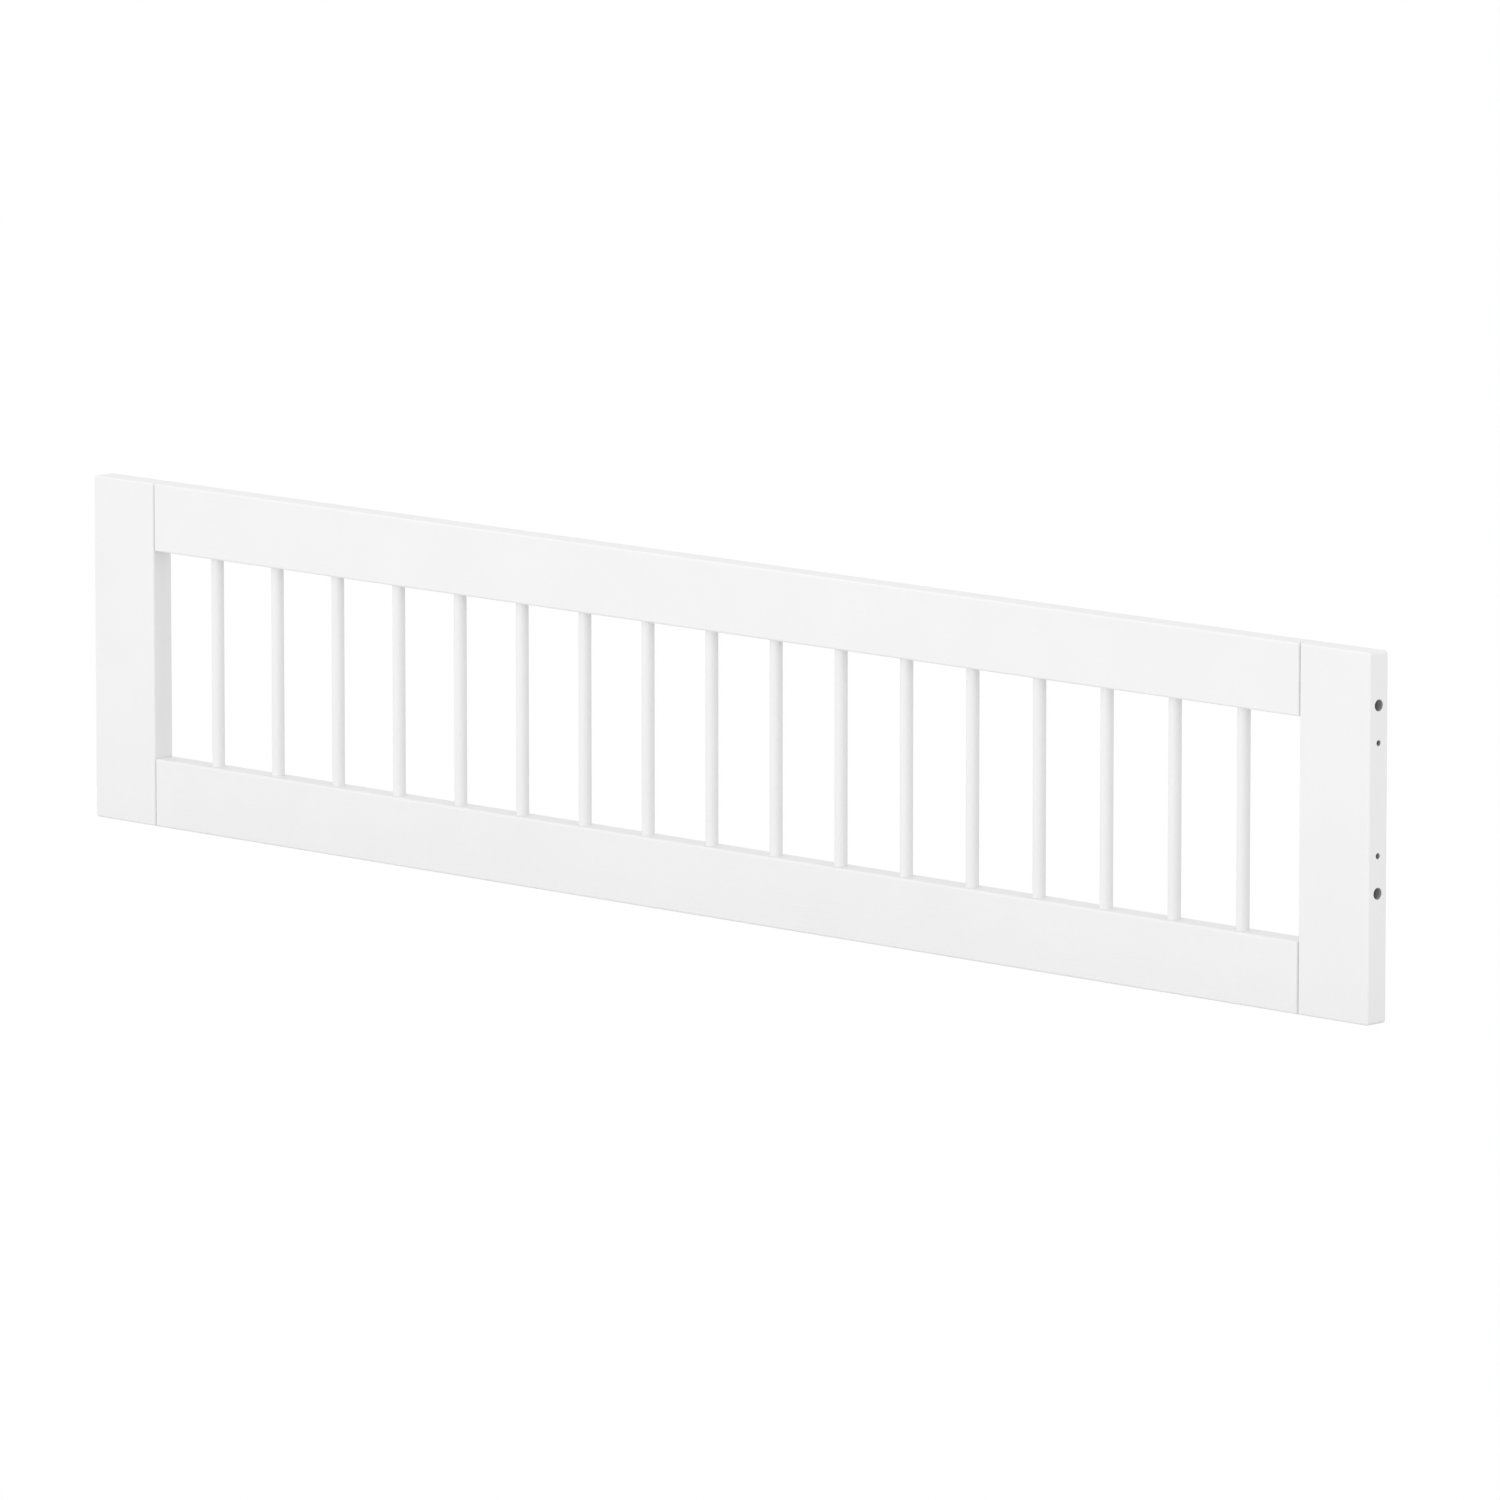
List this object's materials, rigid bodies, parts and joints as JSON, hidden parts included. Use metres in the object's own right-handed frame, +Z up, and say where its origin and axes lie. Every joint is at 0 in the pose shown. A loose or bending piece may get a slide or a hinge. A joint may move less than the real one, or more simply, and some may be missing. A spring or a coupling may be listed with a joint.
{
  "type": "bed guard rail",
  "caption": "White painted wooden guard rail for a child's bed: two stiles, a top and a bottom rail and a row of round spindles, with blind bolt holes in both end faces.",
  "frame": {"origin": "middle of the panel's bottom edge", "axes": "+X along the panel towards the right end seen from the front, +Y through the thickness towards the back face, +Z up"},
  "size_m": [1.58, 0.023, 0.317],
  "materials": {
    "white_paint": "satin white paint on planed wood, lightly rounded edges",
    "beech": "bare fluted beech, inside the joints"
  },
  "bodies": {
    "root": {"left_stile": "white_paint", "right_stile": "white_paint", "top_rail": "white_paint", "bottom_rail": "white_paint", "spindle_01": "white_paint", "spindle_02": "white_paint", "spindle_03": "white_paint", "spindle_04": "white_paint", "spindle_05": "white_paint", "spindle_06": "white_paint", "spindle_07": "white_paint", "spindle_08": "white_paint", "spindle_09": "white_paint", "spindle_10": "white_paint", "spindle_11": "white_paint", "spindle_12": "white_paint", "spindle_13": "white_paint", "spindle_14": "white_paint", "spindle_15": "white_paint", "spindle_16": "white_paint", "spindle_17": "white_paint", "dowel_left_top_lower": "beech", "dowel_left_top_upper": "beech", "dowel_left_bottom_lower": "beech", "dowel_left_bottom_upper": "beech", "dowel_right_top_lower": "beech", "dowel_right_top_upper": "beech", "dowel_right_bottom_lower": "beech", "dowel_right_bottom_upper": "beech"}
  },
  "joints": []
}
